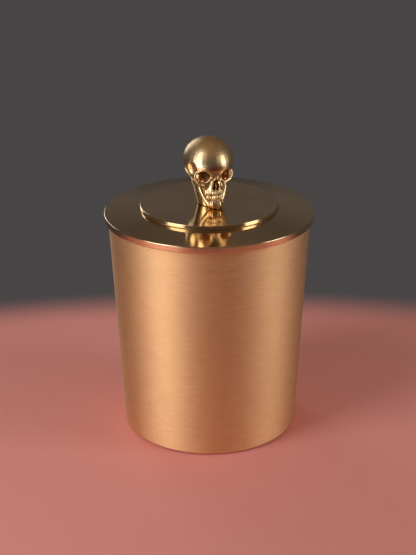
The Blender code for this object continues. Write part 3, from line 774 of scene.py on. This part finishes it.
clay = bmesh.new()
lay_forms(clay, MASSES)
lay_neck(clay)
head = smoothed(press(merged(clay, CLAY_VOXEL, MASS_PASSES)), PRESSED_PASSES)

clay = bmesh.new()
lay_string(clay, JAW)
lay_string(clay, ARCH)
lay_socket_rims(clay)
lay_forms(clay, FEATURES)
added = merged(clay, CLAY_VOXEL, FEATURE_PASSES)

clay = bmesh.new()
clay.from_mesh(head)
clay.from_mesh(added)
lay_teeth(clay)
skull_mesh = merged(clay, FINISH_VOXEL, FEATURE_PASSES)
print("skull before it is cut:", len(skull_mesh.polygons), "faces")

# %% [markdown]
# The casting is sawn flat underneath and drilled for its screw. How deep each point lies in a hollow is
# then measured once and kept with the mesh: a smoothed copy stands for where a polishing cloth reaches,
# and a point below that copy is one it misses. Two copies are used, a lightly smoothed one for the gaps
# between teeth and a strongly smoothed one for the sockets. What the copies miss is painted dark, partly
# as tarnish and partly as painted shade. The neck, close over the lid, and the dip between the brows are
# painted dark as painted shade too.

# %% Saw, drill and measure the hollows
# Smoothing passes, and the depth at which a point counts wholly as hollow
HOLLOW_SMOOTHINGS = ((30, 0.00012), (180, 0.00050))
NECK_FRONT_Y = -4.0
NECK_TOP = 12.5
NECK_PAINTED_SHADE = 0.85
BROW_HEIGHT = 18.8
BROW_SPREAD = 2.6
BROW_FRONT_Y = -7.0
BROW_HALF_WIDTH = 5.5
SAW_SIZE = 0.04
BORE_DEPTH = 0.0068


def cut_away(obj, cutter):
    boolean = obj.modifiers.new("cut", "BOOLEAN")
    boolean.operation = "DIFFERENCE"
    boolean.object = cutter


def add_cutter(maker, **values):
    maker(**values)
    return bpy.context.active_object


def rising(values, width):
    """0 up to zero, then rising to 1 over the width."""
    return np.clip(values / width, 0.0, 1.0)


casting = bpy.data.objects.new("casting", skull_mesh)
scene.collection.objects.link(casting)
below = add_cutter(
    bpy.ops.mesh.primitive_cube_add,
    size=SAW_SIZE,
    location=(0.0, 0.0, SKULL_BASE - SAW_SIZE / 2),
)
drill = add_cutter(
    bpy.ops.mesh.primitive_cylinder_add,
    vertices=48,
    radius=SCREW_HOLE_RADIUS,
    depth=2 * BORE_DEPTH,
    location=(0.0, 0.0, SKULL_BASE),
)
cut_away(casting, below)
cut_away(casting, drill)
skull_mesh = baked(casting)
bpy.data.objects.remove(below)
bpy.data.objects.remove(drill)

normals = np.empty(len(skull_mesh.vertices) * 3)
skull_mesh.vertex_normals.foreach_get("vector", normals)
tarnish_and_shade = np.zeros(len(skull_mesh.vertices))
for passes, reach in HOLLOW_SMOOTHINGS:
    reached = coordinates(smoothed(skull_mesh.copy(), passes))
    depth = ((reached - coordinates(skull_mesh)) * normals.reshape(-1, 3)).sum(axis=1)
    tarnish_and_shade = np.maximum(tarnish_and_shade, rising(depth, reach))
x, y, z = (coordinates(skull_mesh) / MM).T
z -= SKULL_BASE / MM
# Painted shade on the neck, close over the lid, and in the middle of the brow above the sockets.
on_neck = rising(y - NECK_FRONT_Y, 1.5) * rising(NECK_TOP - z, 3.0)
brow_painted_shade = rising(BROW_SPREAD - np.abs(z - BROW_HEIGHT), BROW_SPREAD)
brow_painted_shade *= rising(BROW_FRONT_Y - y, 1.0) * rising(BROW_HALF_WIDTH - np.abs(x), 3.0)
tarnish_and_shade = np.maximum.reduce((tarnish_and_shade, NECK_PAINTED_SHADE * on_neck, brow_painted_shade))
recess = skull_mesh.attributes.new("recess", "FLOAT", "POINT")
recess.data.foreach_set("value", tarnish_and_shade.astype(np.float32))
print("share of the skull in hollows:", round(float((tarnish_and_shade > 0.3).mean()), 3))

# %% Place the skull
skull_mesh.materials.clear()
skull_mesh.materials.append(cast_brass)
skull_mesh.shade_smooth()
skull_mesh.set_sharp_from_angle(angle=math.radians(60))
skull = bpy.data.objects.new("cast_skull", skull_mesh)
scene.collection.objects.link(skull)
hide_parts("skull_finial")
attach(skull, "root")
print("skull:", len(skull_mesh.polygons), "faces")

# %% [markdown]
# ## The wick
# A candle wick is braided from cotton strands. Three strands that swing past each other give the braid:
# each follows the same path, a third of a turn behind the one before. The trimmed end leans a little.

# %% Braid the wick
WICK_LOW = 0.0043
WICK_LEAN = 0.0012
WAX_SURFACE = 0.0724
WICK_TRIM = 0.0002
STRANDS = 3
STRAND_RADIUS = 0.00042
STRAND_POINTS = 220
BRAID_SWING = (0.00058, 0.00034)
BRAID_LENGTH = 0.0042
wick_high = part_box("wick")[1].z


def braid_point(height, phase):
    turn = 2 * math.pi * height / BRAID_LENGTH + phase
    above = max(0.0, (height - WAX_SURFACE) / (wick_high - WAX_SURFACE))
    x = BRAID_SWING[0] * math.sin(turn) + WICK_LEAN * above**2
    return x, BRAID_SWING[1] * math.sin(2 * turn), height


braid = bpy.data.curves.new("braided_wick", "CURVE")
braid.dimensions = "3D"
braid.bevel_depth = STRAND_RADIUS
braid.bevel_resolution = 3
braid.use_fill_caps = True
heights = np.linspace(WICK_LOW, wick_high - WICK_TRIM, STRAND_POINTS)
for strand in range(STRANDS):
    spline = braid.splines.new("POLY")
    spline.points.add(STRAND_POINTS - 1)
    for point, height in zip(spline.points, heights):
        point.co = (*braid_point(height, 2 * math.pi * strand / STRANDS), 1.0)
braid.materials.append(cotton)
wick = bpy.data.objects.new("braided_wick", braid)
scene.collection.objects.link(wick)
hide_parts("wick")
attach(wick, "root")
print("strands:", len(braid.splines))

# %% [markdown]
# ## Floor and room
# The floor is plain, pale and rosy, which warms the lid's edge and the lower part of the metal. It fades
# out softly just behind the holder, so that the skull stands against the even grey of the room and no
# bright horizon crosses its forehead. The room is grey low down and lighter at the height that the lid
# mirrors. It warms towards the ceiling, which the crown of the skull mirrors.

# %% Floor
FLOOR_PALE = (0.95, 0.335, 0.28)
FLOOR_SIZE = 1.3
FLOOR_CENTRE = (-0.029, -0.088, 0.0)
FLOOR_STRETCH = (0.65, 1.0, 1.0)
FLOOR_FADE = (0.200, 0.245)
MOTTLE_DARK = 0.95

floor_paint, tree, shader = start_finish("pale_floor", Roughness=0.85)
place = object_place(tree)
rounder = add(tree, "ShaderNodeVectorMath", {0: place, 1: FLOOR_STRETCH}, operation="MULTIPLY").outputs[0]
away = add(tree, "ShaderNodeVectorMath", {0: rounder}, operation="LENGTH").outputs["Value"]
there = between(tree, away, *FLOOR_FADE, 1.0, 0.0)
there.node.interpolation_type = "SMOOTHSTEP"
tree.links.new(there, shader.inputs["Alpha"])
mottle = add(tree, "ShaderNodeTexNoise", {"Vector": place, "Scale": 700.0, "Detail": 3.0}).outputs[0]
pale = mix_colours(tree, mottle, tuple(MOTTLE_DARK * part for part in FLOOR_PALE), FLOOR_PALE)
tree.links.new(pale, shader.inputs["Base Color"])
turned = (0.0, 0.0, math.radians(CAMERA_AZIMUTH))
bpy.ops.mesh.primitive_plane_add(size=FLOOR_SIZE, location=FLOOR_CENTRE, rotation=turned)
floor = bpy.context.active_object
floor.name = "pale_floor"
floor.data.materials.append(floor_paint)
print("floor size:", FLOOR_SIZE)

# %% Room
ROOM_LOW = (0.066, 0.060, 0.061)
ROOM_HIGH = (0.24, 0.19, 0.14)
# How far up a ray points, its red, and its green and blue as shares of the red
ROOM_BETWEEN = (
    (0.10, 0.060, 0.94, 0.94),
    (0.25, 0.110, 0.96, 0.95),
    (0.34, 0.108, 0.95, 0.92),
    (0.46, 0.080, 0.90, 0.82),
    (0.75, 0.190, 0.76, 0.54),
)

world = bpy.data.worlds.new("studio")
world.use_nodes = True
tree = world.node_tree
ray = add(tree, "ShaderNodeTexCoord").outputs["Generated"]
up = add(tree, "ShaderNodeSeparateXYZ", {0: ray}).outputs[2]
shade = add(tree, "ShaderNodeValToRGB", {0: up})
stops = shade.color_ramp.elements
for place, red, green, blue in ROOM_BETWEEN:
    stops.new(place).color = (red, green * red, blue * red, 1.0)
stops[0].color = (*ROOM_LOW, 1.0)
stops[-1].color = (*ROOM_HIGH, 1.0)
tree.links.new(shade.outputs[0], tree.nodes["Background"].inputs["Color"])
scene.world = world
scene.view_settings.view_transform = "Standard"
print("room set")
